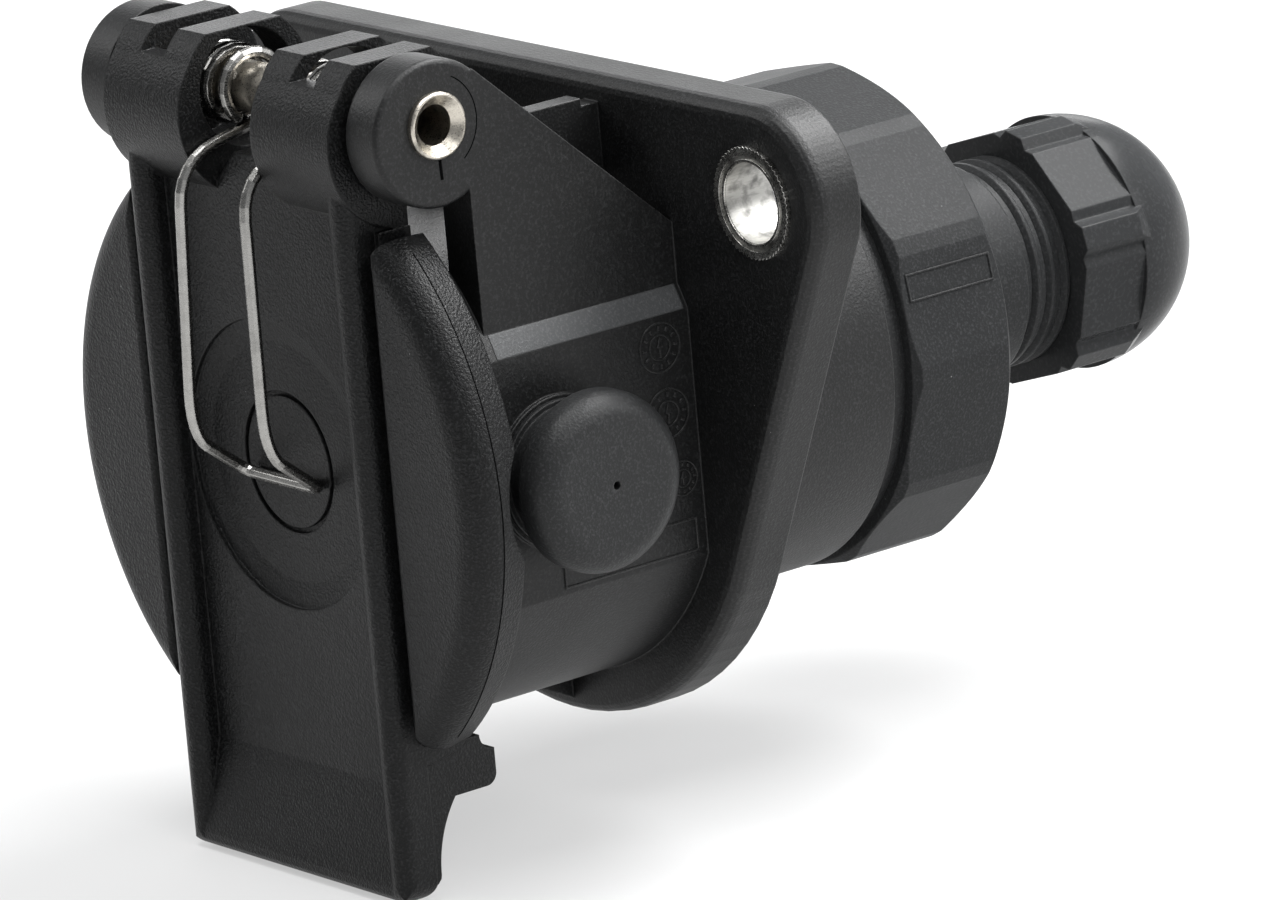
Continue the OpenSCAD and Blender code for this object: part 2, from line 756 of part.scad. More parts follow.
// Lid plate with its side pads, grooves beside the strap and room for the strap's web
module lid_disc() {
  groove_in = strap_w / 2 - strap_rib_w / 2;
  groove_out = strap_w / 2 + pad_groove_w;
  web_half = strap_w / 2 - strap_rib_w / 4;
  web_room = (strap_t + web_depth) / 2;
  difference() {
    lid_plate();
    translate([-far / 2, -far / 2, web_top]) cube(far);
    both_sides() {
      pad_end_waste(strap_w / 2 - eps, groove_out);
      mirror([0, 0, 1]) pad_end_waste(strap_w / 2 - eps, groove_out);
      translate([groove_in, lid_front - 1, -far / 2]) cube([groove_out - groove_in, pad_groove_d + 1, far]);
      translate([groove_out + pad_edge_r, lid_front + pad_edge_r, -far / 2])
        linear_extrude(far) corner_waste(pad_edge_r);
    }
    translate([-web_half, strap_front + web_room - far, -far / 2]) cube([2 * web_half, far, far]);
  }
}

// Strap down the middle of the lid: two rounded ribs, a sunk web and a ramp to the lip
module strap() {
  rib_r = strap_rib_w / 2;
  lip_step = 0.2;
  half = strap_w / 2;
  length = web_top + lip_drop;
  translate([0, strap_front, 0])
    difference() {
      union() {
        translate([-half, web_depth, -lip_drop]) cube([strap_w, strap_t - web_depth, length]);
        both_sides() translate([half - rib_r, rib_r, -lip_drop]) {
          cylinder(r = rib_r, h = length, $fn = 48);
          translate([-rib_r, 0, 0]) cube([strap_rib_w, strap_t - rib_r, length]);
        }
        side_extrude(-half + rib_r, strap_w - strap_rib_w)
          polygon([
            [web_depth + eps, ramp_len - lip_drop], [lip_step, lip_r - lip_drop], [lip_step, -lip_drop],
            [strap_t, -lip_drop], [strap_t, ramp_len - lip_drop]
          ]);
      }
      both_sides() translate([half - lip_corner_r, far / 2, lip_corner_r - lip_drop])
        rotate([90, 0, 0]) linear_extrude(far) mirror([1, 0]) corner_waste(lip_corner_r);
      side_extrude(-half - 1, strap_w + 2) {
        translate([lip_r, lip_r - lip_drop]) corner_waste(lip_r);
        translate([strap_t - lip_r, lip_r - lip_drop]) mirror([1, 0]) corner_waste(lip_r);
      }
    }
}

// Hook behind the lip
module hook() {
  low = -lid_r + hook_rise;
  tip = lid_back + hook_reach;
  root = strap_front + strap_t - 1;
  side_extrude(hook_inset - strap_w / 2, strap_w - 2 * hook_inset)
    difference() {
      union() {
        translate([root, low]) square([tip - root, hook_t]);
        translate([root, low - hook_fillet_h]) square([hook_fillet_r / 2 + 1, hook_fillet_h]);
      }
      translate([root + 1 + hook_fillet_r, low - hook_fillet_h]) circle(hook_fillet_r);
      translate([tip, low + hook_t]) circle(hook_scoop_r);
      translate([tip - hook_nose_r, low + hook_nose_r]) mirror([1, 0]) corner_waste(hook_nose_r);
    }
}

// Lid knuckle on the right: an eccentric front, a round heel and a flat top
module knuckle() {
  intersection() {
    union() {
      to_right(knuckle_in, hinge_y, hinge_z) cylinder(r = heel_r, h = knuckle_len);
      intersection() {
        to_right(knuckle_in, hinge_y, hinge_z - knuckle_drop) cylinder(r = knuckle_r, h = knuckle_len);
        translate([0, hinge_y - far, 0]) cube([far, far, far]);
      }
    }
    translate([0, -far, -far + hinge_z + knuckle_flat]) cube([far, 2 * far, far]);
  }
}

// Cup, pin bore and tail slot of the right knuckle
module knuckle_cuts() {
  to_right(0, hinge_y, hinge_z) cylinder(r = cup_r, h = knuckle_in + cup_depth);
  to_right(0, hinge_y, hinge_z) cylinder(r = pin_r + pin_play, h = far);
  translate([slot_in, hinge_y - slot_front, hinge_z + slot_floor]) cube([tail_slot_w, far, far]);
  translate([slot_in, hinge_y + slot_back, hinge_z - heel_r]) cube([tail_slot_w, far, far]);
}

// Hinged lid
module lid() {
  wall_y = strap_front + web_depth + recess_step;
  groove_half = 0.3;
  groove_d = 0.6;
  color("#2c2e30")
  difference() {
    union() {
      lid_disc();
      strap();
      hook();
      both_sides() knuckle();
    }
    both_sides() knuckle_cuts();
    to_back(lid_seat) cylinder(r = skirt_r, h = far);
    to_front(lid_seat + eps) ring(lid_seal_in_r - fit_gap, lid_seal_out_r + fit_gap, seal_sink + eps);
    to_front(recess_y) cylinder(r1 = recess_r - recess_bevel, r2 = recess_r, h = recess_y - wall_y);
    to_front(wall_y) cylinder(r = recess_r, h = far);
    to_front(recess_y + groove_d)
      ring(ring_groove_r - groove_half, ring_groove_r + groove_half, far);
    to_right(skirt_r, plug_y, 0)
      cylinder(r1 = plug_y - lid_back, r2 = plug_y - lid_back + scallop_depth, h = lid_r - skirt_r);
    both_sides() translate([knuckle_in - web_notch, strap_front - strap_t, web_top])
      rotate([-90, 0, 0]) linear_extrude(far) polygon([[0, 0], [web_notch, 0], [web_notch, web_notch]]);
  }
}

// Rubber ring in the lid, facing the barrel's front rim
module lid_seal() {
  color("#101112")
    to_front(barrel_front - seal_gap)
      ring(lid_seal_in_r, lid_seal_out_r, lid_gap - seal_gap + seal_sink);
}

// Rounded corner between three points, as points on a parabola
function bend(a, b, c, n) = [for (i = [0 : n]) let (t = i / n) (1 - t) * (1 - t) * a + 2 * t * (1 - t) * b + t * t * c];

// Unit vector
function unit(v) = v / norm(v);

// A point at a distance d from a towards b
function towards(a, b, d) = a + d * unit(b - a);

// Directions along a path of points
function directions(p) = [
  for (i = [0 : len(p) - 1])
    unit(p[min(i + 1, len(p) - 1)] - p[max(i - 1, 0)])
];

// Normals carried along a path without twist
function normals(t, first) = [
  for (i = 0, n = first; i < len(t); i = i + 1, n = i < len(t) ? unit(n - t[i] * (n * t[i])) : n)
    unit(n - t[i] * (n * t[i]))
];

// Round wire swept along a path of points
module wire(path, first) {
  sides = 8;
  t = directions(path);
  n = normals(t, first);
  last = len(path) - 1;
  points = [
    for (i = [0 : last]) for (k = [0 : sides - 1])
      path[i] + wire_r * (cos(k * 360 / sides) * n[i] + sin(k * 360 / sides) * cross(t[i], n[i]))
  ];
  walls = [
    for (i = [0 : last - 1]) for (k = [0 : sides - 1])
      let (a = i * sides + k, b = i * sides + (k + 1) % sides)
        each [[a, a + sides, b], [b, a + sides, b + sides]]
  ];
  ends = [[for (k = [0 : sides - 1]) k], [for (k = [sides - 1 : -1 : 0]) last * sides + k]];
  polyhedron(points, concat(walls, ends), convexity = 6);
}

// A point on the spring's coil at angle a, measured from the back upwards
function coil_point(x, a) = [x, hinge_y + coil_r * cos(a), hinge_z + coil_r * sin(a)];

// Turns and tail of the spring that stay with the housing
module spring_coil(side) {
  steps = 18;
  tail = [tail_x, tail_end, tail_low];
  path = concat(
    [tail],
    [for (i = [0 : coil_turns * steps]) coil_point(tail_x - i * coil_pitch / steps, -90 - i * 360 / steps)]
  );
  color("#a9aaa8") mirror([side < 0 ? 1 : 0, 0, 0]) wire(path, [1, 0, 0]);
}

// Last turns, legs and bar of the spring, which ride with the lid
module spring_bail() {
  steps = 20;
  bar_y = recess_y - wire_r - turn_gap;
  leg_x = bail_x + bail_spread;
  top = [bail_x, strap_front - bail_reach, bail_top_z];
  knee = [leg_x, strap_front - bail_standoff - wire_r, bail_bend_z];
  foot = [leg_x, bar_y, -bail_bar_drop];
  start = coil_point(bail_x, -90);
  side = concat(
    [for (i = [0 : steps - 2]) coil_point(bail_x, -90 - (i + 2 - steps) * 360 / steps)],
    bend(towards(top, start, bend_reach), top, towards(top, knee, bend_reach), 6),
    bend(towards(knee, top, bend_reach), knee, towards(knee, foot, bend_reach / 2), 6),
    bend(towards(foot, knee, bend_small), foot, foot - [bend_small, 0, 0], 4)
  );
  last = len(side) - 1;
  other = [for (i = [last : -1 : 0]) [-side[i][0], side[i][1], side[i][2]]];
  color("#b2b3b1") wire(concat(side, other), [1, 0, 0]);
}

socket_housing();
mounting_bush(-1);  // mounting_bush_left
mounting_bush(1);  // mounting_bush_right
hinge_pin();
side_plug();
contact_carrier();
for (i = [0 : 6])
  contact_pin(i);
spring_coil(-1);  // spring_coil_left
spring_coil(1);  // spring_coil_right
cap_seal();
rear_cap();
gland_seal();
gland_collet();
gland_nut();
lid();
lid_seal();
spring_bail();
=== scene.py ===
"""Looks of a trailer socket with a sprung lid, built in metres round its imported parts."""

import json
import math

import bmesh
import bpy
from mathutils import Matrix, Vector


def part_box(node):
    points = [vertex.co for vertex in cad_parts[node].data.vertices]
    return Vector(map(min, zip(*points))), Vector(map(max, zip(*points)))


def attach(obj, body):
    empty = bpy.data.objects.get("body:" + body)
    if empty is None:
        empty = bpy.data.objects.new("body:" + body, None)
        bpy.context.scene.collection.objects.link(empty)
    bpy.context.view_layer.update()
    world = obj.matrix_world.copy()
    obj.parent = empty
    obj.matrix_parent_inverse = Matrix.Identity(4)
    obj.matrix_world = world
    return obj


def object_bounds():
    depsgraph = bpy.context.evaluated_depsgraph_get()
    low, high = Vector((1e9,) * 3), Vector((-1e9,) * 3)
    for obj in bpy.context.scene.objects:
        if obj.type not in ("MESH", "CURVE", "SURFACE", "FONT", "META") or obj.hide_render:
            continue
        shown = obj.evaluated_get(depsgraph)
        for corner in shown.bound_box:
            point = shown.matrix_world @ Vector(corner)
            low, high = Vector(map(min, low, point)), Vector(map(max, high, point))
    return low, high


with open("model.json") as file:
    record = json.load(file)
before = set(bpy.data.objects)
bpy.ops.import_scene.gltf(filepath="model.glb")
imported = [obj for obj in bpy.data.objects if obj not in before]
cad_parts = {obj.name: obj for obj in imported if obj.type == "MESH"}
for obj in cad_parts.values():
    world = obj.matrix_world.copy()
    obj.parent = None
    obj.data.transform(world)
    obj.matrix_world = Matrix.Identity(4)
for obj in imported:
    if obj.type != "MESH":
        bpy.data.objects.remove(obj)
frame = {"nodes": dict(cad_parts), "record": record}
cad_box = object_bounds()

MM = 0.001
NODES = frame["nodes"]


# Camera

IMAGE_WIDTH = 1280
SENSOR_WIDTH = 36.0
FOCAL_PIXELS = 10421
AZIMUTH, ELEVATION, ROLL = 52.79, 15.11, -5.025
DISTANCE = 1.0978
PAN_RIGHT, PAN_UP = 6.23 * MM, -7.49 * MM
CLIP_NEAR, CLIP_FAR = 0.05, 50


def add_camera():
    """A long lens that looks at the socket from the photograph's side."""
    turn, rise, roll = (math.radians(v) for v in (AZIMUTH, ELEVATION, ROLL))
    back = Vector((math.sin(turn) * math.cos(rise), -math.cos(turn) * math.cos(rise), math.sin(rise)))
    level = Vector((math.cos(turn), math.sin(turn), 0))
    lift = back.cross(level)
    right = level * math.cos(roll) + lift * math.sin(roll)
    up = lift * math.cos(roll) - level * math.sin(roll)
    data = bpy.data.cameras.new("camera")
    data.sensor_width = SENSOR_WIDTH
    data.lens = FOCAL_PIXELS * SENSOR_WIDTH / IMAGE_WIDTH
    data.clip_start = CLIP_NEAR
    data.clip_end = CLIP_FAR
    camera = bpy.data.objects.new("camera", data)
    bpy.context.scene.collection.objects.link(camera)
    place = Matrix((right, up, back)).transposed().to_4x4()
    place.translation = right * PAN_RIGHT + up * PAN_UP + back * DISTANCE
    camera.matrix_world = place
    bpy.context.scene.camera = camera


# Studio

FLOOR_HALF = 8.0
FLOOR_GAP = 0.2 * MM
BRIGHT_SIDE = (0.25, 0.9, 0.35)
SURROUND_TINT = (0.96, 0.98, 1.0, 1)
SURROUND_LOW, SURROUND_HIGH = 0.15, 0.65
FLOOR_LEVEL, FLOOR_GLOW, FLOOR_ROUGH = 0.3, 0.48, 0.9

# Each light's place and size in metres, and its power in watts
LIGHTS = {
    "top_box": ((0.16, 0.68, 0.97), (1.0, 0.5), 29),
    "right_box": ((0.95, 0.85, 0.72), (0.6, 0.45), 8),
    "side_box": ((0.85, -0.08, 0.85), (0.4, 0.35), 3),
    "front_box": ((-0.8, -0.5, 0.62), (0.6, 0.4), 3),
    "back_box": ((-1.0, 0.75, 0.33), (0.7, 0.35), 2.2),
    "key_box": ((0.02, -0.2, 1.12), (0.5, 0.4), 7),
}


def add_light(name, place, size, watts):
    """A soft rectangular light at place, turned towards the socket."""
    data = bpy.data.lights.new(name, "AREA")
    data.shape = "RECTANGLE"
    data.size, data.size_y = size
    data.energy = watts
    light = bpy.data.objects.new(name, data)
    light.location = place
    light.rotation_euler = (-Vector(place)).to_track_quat("-Z", "Y").to_euler()
    bpy.context.scene.collection.objects.link(light)


def add_surround():
    """A surround that brightens towards one side."""
    world = bpy.data.worlds.new("studio")
    world.use_nodes = True
    nodes, links = world.node_tree.nodes, world.node_tree.links
    surround = nodes["Background"]
    surround.inputs["Color"].default_value = SURROUND_TINT
    towards = nodes.new("ShaderNodeVectorMath")
    towards.operation = "DOT_PRODUCT"
    towards.inputs[1].default_value = Vector(BRIGHT_SIDE).normalized()
    links.new(nodes.new("ShaderNodeTexCoord").outputs["Generated"], towards.inputs[0])
    strength = nodes.new("ShaderNodeMapRange")
    limits = {"From Min": -1, "From Max": 1, "To Min": SURROUND_LOW, "To Max": SURROUND_HIGH}
    for key, value in limits.items():
        strength.inputs[key].default_value = value
    links.new(towards.outputs["Value"], strength.inputs["Value"])
    links.new(strength.outputs["Result"], surround.inputs["Strength"])
    bpy.context.scene.world = world


def add_floor():
    """A pale floor that glows faintly, just under the socket."""
    corners = [(-1, -1), (1, -1), (1, 1), (-1, 1)]
    low = cad_box[0][2] - FLOOR_GAP
    mesh = bpy.data.meshes.new("floor")
    mesh.from_pydata([(x * FLOOR_HALF, y * FLOOR_HALF, low) for x, y in corners], [], [(0, 1, 2, 3)])
    floor = bpy.data.objects.new("floor", mesh)
    bpy.context.scene.collection.objects.link(floor)
    paper = bpy.data.materials.new("floor_paper")
    paper.use_nodes = True
    shader = paper.node_tree.nodes["Principled BSDF"]
    shader.inputs["Base Color"].default_value = (FLOOR_LEVEL, FLOOR_LEVEL, FLOOR_LEVEL, 1)
    shader.inputs["Roughness"].default_value = FLOOR_ROUGH
    shader.inputs["Emission Color"].default_value = (1, 1, 1, 1)
    shader.inputs["Emission Strength"].default_value = FLOOR_GLOW
    mesh.materials.append(paper)


def add_studio():
    """The surround, the floor and large soft lights."""
    add_surround()
    add_floor()
    for name, (place, size, watts) in LIGHTS.items():
        add_light(name, place, size, watts)
    bpy.context.scene.view_settings.view_transform = "Standard"


# Materials

DUST_GREY = (0.2, 0.2, 0.2, 1)
DUST_SPACING_MM = 2.4
DUST_SIZE = 0.035
DUST_SHARE = 0.35
MOTTLE_SCALE = 70.0
MOTTLE_LOW, MOTTLE_HIGH = 0.8, 1.25
MOTTLE_RANGE = (0.3, 0.7)
ROUGH_LESS, ROUGH_MORE = 0.04, 0.05
EDGE_HIGHLIGHT_RANGE = (0.99, 0.85)
OPEN_RANGE = (0.75, 0.95)
BREAK_RANGE, BREAK_LEAST = (0.35, 0.6), 0.2
GLINT_RANGE = (0.5, 0.74)
COOLNESS = -0.03
SCRATCH_STRETCH = (1, 0.15, 1)
SCRATCH_RANGE, SCRATCH_LEAST = (0.3, 0.5), 0.6
GLOSS_RANGE, GLOSS_LESS, GLOSS_MORE = (0.3, 0.7), 0.06, 0.1
STAIN_SCALE = 700.0
STAIN_RANGE = (0.3, 0.55)
NODE_SAMPLES = 8

# The Mix node's sockets for colours, which share their names with its other sockets
MIX_SHARE, MIX_FIRST, MIX_SECOND, MIX_RESULT = 0, 6, 7, 2


def new_material(name):
    """An empty node material: its shader, a function that adds nodes and one that links sockets."""
    material = bpy.data.materials.new(name)
    material.use_nodes = True
    tree = material.node_tree

    def add(kind, settings=None, **inputs):
        made = tree.nodes.new(kind)
        for key, value in (settings or {}).items():
            setattr(made, key, value)
        for key, value in inputs.items():
            give(value, made.inputs[key.replace("_", " ")])
        return made

    def give(value, socket):
        if hasattr(value, "is_output"):
            tree.links.new(value, socket)
        else:
            socket.default_value = value

    return material, tree.nodes["Principled BSDF"], add, give


def mixed(add, give, share, first, second):
    """A colour that goes from the first to the second as share goes from 0 to 1."""
    mix = add("ShaderNodeMix", {"data_type": "RGBA"})
    for value, index in ((share, MIX_SHARE), (first, MIX_FIRST), (second, MIX_SECOND)):
        give(value, mix.inputs[index])
    return mix.outputs[MIX_RESULT]


def maths(add, give, operation, first, second):
    """The result of one arithmetic node."""
    node = add("ShaderNodeMath", {"operation": operation})
    give(first, node.inputs[0])
    give(second, node.inputs[1])
    return node.outputs[0]


def ramp(add, value, start, end, low, high):
    """A value taken from the range start to end into the range low to high."""
    node = add("ShaderNodeMapRange", Value=value, From_Min=start, From_Max=end, To_Min=low, To_Max=high)
    return node.outputs["Result"]


def grey(level, warmth=0.0):
    """A nearly neutral colour, a little cool where warmth is negative."""
    return (level * (1 + warmth), level, level * (1 - warmth), 1)


def moulded(name, base, rough, gloss, grain_mm, depth_mm, glint_level=4.0, edge_mm=0.3, edge_highlight_level=0.04):
    """Moulded plastic or rubber with a grain, faint mottling, specks of dust, and a painted highlight on
    its open edges and on the grain's peaks.
    """
    material, shader, add, give = new_material(name)
    place = add("ShaderNodeTexCoord").outputs["Object"]
    mottle = add("ShaderNodeTexNoise", Vector=place, Scale=MOTTLE_SCALE, Detail=4.0).outputs["Fac"]
    grain = add("ShaderNodeTexNoise", Vector=place, Scale=1 / (grain_mm * MM), Detail=2.0, Roughness=0.5)
    specks = add("ShaderNodeTexVoronoi", Vector=place, Scale=1 / (DUST_SPACING_MM * MM))
    soft = add("ShaderNodeBevel", {"samples": NODE_SAMPLES}, Radius=edge_mm * MM)

    # Painted highlight: the colour is lightened along open edges, where the rounded normal turns away
    # from the face, standing in for light caught by small rounded edges.
    bent = add("ShaderNodeVectorMath", {"operation": "DOT_PRODUCT"})
    give(soft.outputs["Normal"], bent.inputs[0])
    give(add("ShaderNodeNewGeometry").outputs["Normal"], bent.inputs[1])
    edges = ramp(add, bent.outputs["Value"], *EDGE_HIGHLIGHT_RANGE, 0.0, 1.0)
    local = {"samples": NODE_SAMPLES, "only_local": True}
    hollow = add("ShaderNodeAmbientOcclusion", local, Distance=2 * edge_mm * MM)
    edges = maths(add, give, "MULTIPLY", edges, ramp(add, hollow.outputs["AO"], *OPEN_RANGE, 0.0, 1.0))
    breaks = ramp(add, grain.outputs["Fac"], *BREAK_RANGE, BREAK_LEAST, 1.0)
    painted_edge_highlight = maths(add, give, "MULTIPLY", edges, breaks)

    lot = add("ShaderNodeSeparateColor", Color=specks.outputs["Color"])
    chosen = maths(add, give, "LESS_THAN", lot.outputs[0], DUST_SHARE)
    size = maths(add, give, "MULTIPLY", lot.outputs[1], DUST_SIZE)
    dust = maths(add, give, "LESS_THAN", specks.outputs["Distance"], size)

    darker, lighter = (grey(base * share, COOLNESS) for share in (MOTTLE_LOW, MOTTLE_HIGH))
    tone = mixed(add, give, mottle, darker, lighter)
    # Painted glints: the grain's peaks are lightened towards a multiple of the base colour, standing in
    # for light caught on the grain.
    painted_glints = ramp(add, grain.outputs["Fac"], *GLINT_RANGE, 0.0, 1.0)
    tone = mixed(add, give, painted_glints, tone, grey(base * glint_level, COOLNESS))
    # Mixes in the painted edge highlight, a lighter grey along the edges.
    tone = mixed(add, give, painted_edge_highlight, tone, grey(edge_highlight_level))
    tone = mixed(add, give, maths(add, give, "MULTIPLY", chosen, dust), tone, DUST_GREY)
    give(tone, shader.inputs["Base Color"])
    uneven = ramp(add, mottle, *MOTTLE_RANGE, rough - ROUGH_LESS, rough + ROUGH_MORE)
    give(uneven, shader.inputs["Roughness"])
    shader.inputs["Specular IOR Level"].default_value = gloss
    bump = add("ShaderNodeBump", Height=grain.outputs["Fac"], Normal=soft.outputs["Normal"])
    bump.inputs["Distance"].default_value = depth_mm * MM
    give(bump.outputs["Normal"], shader.inputs["Normal"])
    return material


def metal(name, colour, rough, scratch_mm, round_mm, dark=0.35):
    """Plated or drawn metal with fine scratches, stains, an uneven gloss and rounded edges."""
    material, shader, add, give = new_material(name)
    place = add("ShaderNodeTexCoord").outputs["Object"]
    drawn = add("ShaderNodeMapping", Vector=place, Scale=SCRATCH_STRETCH).outputs["Vector"]
    lines = add("ShaderNodeTexNoise", Vector=drawn, Scale=1 / (scratch_mm * MM), Detail=3.0)
    scratch = lines.outputs["Fac"]
    stain = add("ShaderNodeTexNoise", Vector=place, Scale=STAIN_SCALE, Detail=4.0).outputs["Fac"]
    clean = ramp(add, stain, *STAIN_RANGE, 0.0, 1.0)
    whole = ramp(add, scratch, *SCRATCH_RANGE, SCRATCH_LEAST, 1.0)
    worn = maths(add, give, "MULTIPLY", clean, whole)
    tone = mixed(add, give, worn, (*(dark * c for c in colour), 1), (*colour, 1))
    give(tone, shader.inputs["Base Color"])
    shader.inputs["Metallic"].default_value = 1.0
    uneven = ramp(add, scratch, *GLOSS_RANGE, rough - GLOSS_LESS, rough + GLOSS_MORE)
    give(uneven, shader.inputs["Roughness"])
    soft = add("ShaderNodeBevel", {"samples": NODE_SAMPLES}, Radius=round_mm * MM)
    give(soft.outputs["Normal"], shader.inputs["Normal"])
    return material


# Moulded: base level, roughness, gloss, grain size and grain depth in millimetres
# Metal: colour, roughness, scratch spacing and edge rounding in millimetres
MATERIALS = {
    "housing_plastic": moulded("housing_plastic", 0.004, 0.46, 0.34, 0.28, 0.05, glint_level=5.0),
    "lid_plastic": moulded("lid_plastic", 0.004, 0.38, 0.21, 0.28, 0.13, glint_level=5.0, edge_highlight_level=0.012),
    "cap_plastic": moulded("cap_plastic", 0.02, 0.44, 0.09, 0.28, 0.04, glint_level=2.0),
    "nut_plastic": moulded("nut_plastic", 0.026, 0.24, 0.05, 0.4, 0.006, glint_level=1.5),
    "carrier_plastic": moulded("carrier_plastic", 0.006, 0.45, 0.35, 0.3, 0.01),
    "rubber": moulded("rubber", 0.014, 0.44, 0.24, 0.28, 0.05, glint_level=2.5),
    "spring_wire": metal("spring_wire", (0.36, 0.354, 0.34), 0.24, 0.12, 0.2, dark=0.8),
    "plated_steel": metal("plated_steel", (0.52, 0.512, 0.488), 0.27, 0.2, 0.1),
    "contact_brass": metal("contact_brass", (0.75, 0.56, 0.26), 0.25, 0.2, 0.1),
}
# A lighter, rougher plastic for the bands on the barrel: a painted highlight where light falls along
# them.
HIGHLIGHT_BAND_MATERIAL = moulded("painted_highlight_band", 0.05, 0.55, 0.4, 0.25, 0.06, glint_level=1.8)
BUSH_STEEL = metal("bush_steel", (0.4, 0.395, 0.376), 0.42, 0.25, 0.1)
NODE_MATERIALS = {
    "hinge_pin": metal("pin_steel", (0.6, 0.56, 0.49), 0.3, 0.15, 0.15),
    "mounting_bush_left": BUSH_STEEL,
    "mounting_bush_right": BUSH_STEEL,
}
# Nearly black and dull: painted shade for the shadow in fine grooves and slits.
PAINTED_SHADE_MATERIAL = moulded("gap_shadow", 0.0012, 0.8, 0.02, 0.2, 0.01, edge_mm=0.05, edge_highlight_level=0.002)


def dress_nodes():
    """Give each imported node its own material, or else that of its slot."""
    for part in frame["record"]["subparts"]:
        mesh = NODES[part["node"]].data
        mesh.materials.clear()
        mesh.materials.append(NODE_MATERIALS.get(part["node"]) or MATERIALS[part["material_slot"]])


# Detail pieces

X, Y, Z = Vector((1, 0, 0)), Vector((0, 1, 0)), Vector((0, 0, 1))


def add_piece(name, shape, slot, body="base", material=None):
    """A mesh piece that rides on a body and takes the material of a slot, or one of its own."""
    points, faces = shape
    mesh = bpy.data.meshes.new(name)
    mesh.from_pydata(points, [], faces)
    work = bmesh.new()
    work.from_mesh(mesh)
    bmesh.ops.recalc_face_normals(work, faces=work.faces)
    work.to_mesh(mesh)
    work.free()
    mesh.materials.append(material or MATERIALS[slot])
    piece = bpy.data.objects.new(name, mesh)
    bpy.context.scene.collection.objects.link(piece)
    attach(piece, body)


def plane_at(origin, across, along, out):
    """A function from flat coordinates and a height above a plane, in millimetres, to a point."""
    def place(u, v, height):
        return Vector(origin) + (across * u + along * v + out * height) * MM
    return place


def prism(shape, outline, place, low, high):
    """Add a prism over a flat outline."""
    points, faces = shape
    first, count = len(points), len(outline)
    points += [place(u, v, level) for level in (low, high) for u, v in outline]
    faces.append([first + i for i in reversed(range(count))])
    faces.append([first + count + i for i in range(count)])
    for i in range(count):
        j = (i + 1) % count
        faces.append([first + i, first + j, first + count + j, first + count + i])


def band(shape, inner, outer, place, low, high, closed=True):
    """Add a band between two outlines with the same number of points, in a loop or with capped ends."""
    points, faces = shape
    first, count = len(points), len(inner)
    rows = [(inner, low), (inner, high), (outer, high), (outer, low)]
    points += [place(u, v, level) for outline, level in rows for u, v in outline]
    for i in range(count if closed else count - 1):
        j = (i + 1) % count
        for k in range(4):
            a, b = first + k * count, first + (k + 1) % 4 * count
            faces.append([a + i, a + j, b + j, b + i])
    if not closed:
        faces.append([first + k * count for k in range(4)])
        faces.append([first + k * count + count - 1 for k in reversed(range(4))])


def circle(radius, steps):
    """Points round a circle."""
    turns = [2 * math.pi * i / steps for i in range(steps)]
    return [(radius * math.cos(a), radius * math.sin(a)) for a in turns]


def arc(radius, start, end, steps=48):
    """Points along an arc between two angles in degrees."""
    turns = [math.radians(start + (end - start) * i / steps) for i in range(steps + 1)]
    return [(radius * math.cos(a), radius * math.sin(a)) for a in turns]


def rectangle(low, high, inset=0.0):
    """The four corners of a rectangle, drawn in by inset on all sides."""
    u0, v0 = (c + inset for c in low)
    u1, v1 = (c - inset for c in high)
    return [(u0, v0), (u1, v0), (u1, v1), (u0, v1)]


# Thread of the cable gland

THREAD_ROOT = 10.9
THREAD_CREST = 11.5
THREAD_ROOT_HALF, THREAD_CREST_HALF = 0.8, 0.22
THREAD_PITCH = 2.0
THREAD_LENGTH = 11.0
THREAD_STEPS = 72
THREAD_FADE = 24


def add_thread():
    """A helical ridge round the stub between the cap's boss and the gland nut."""
    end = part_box("rear_cap")[1][1] / MM
    count = int(THREAD_STEPS * THREAD_LENGTH / THREAD_PITCH)
    start = end - THREAD_LENGTH - THREAD_PITCH / 2
    points, faces = [], []
    for i in range(count + 1):
        turn = 2 * math.pi * i / THREAD_STEPS
        mid = start + THREAD_PITCH * i / THREAD_STEPS
        full = min(1.0, i / THREAD_FADE, (count - i) / THREAD_FADE)
        crest = THREAD_ROOT + (THREAD_CREST - THREAD_ROOT) * full
        section = [
            (-THREAD_ROOT_HALF, THREAD_ROOT),
            (-THREAD_CREST_HALF, crest),
            (THREAD_CREST_HALF, crest),
            (THREAD_ROOT_HALF, THREAD_ROOT),
        ]
        points += [
            Vector((r * math.cos(turn), mid + shift, r * math.sin(turn))) * MM for shift, r in section
        ]
    for i in range(count):
        for k in range(4):
            a, b = 4 * i + k, 4 * i + (k + 1) % 4
            faces.append([a, b, b + 4, a + 4])
    faces += [[3, 2, 1, 0], [4 * count + k for k in range(4)]]
    add_piece("gland_thread", (points, faces), "cap_plastic")


# Knurled rims of the mounting bushes

KNURL_TEETH = 60
KNURL_R, KNURL_DEPTH = 5.95, 0.22
RIM_INNER_R, RIM_HEIGHT = 5.05, 0.2
LIP_IN_R, LIP_OUT_R, LIP_HEIGHT = 4.3, 4.6, 0.15
RIM_SINK = 0.3


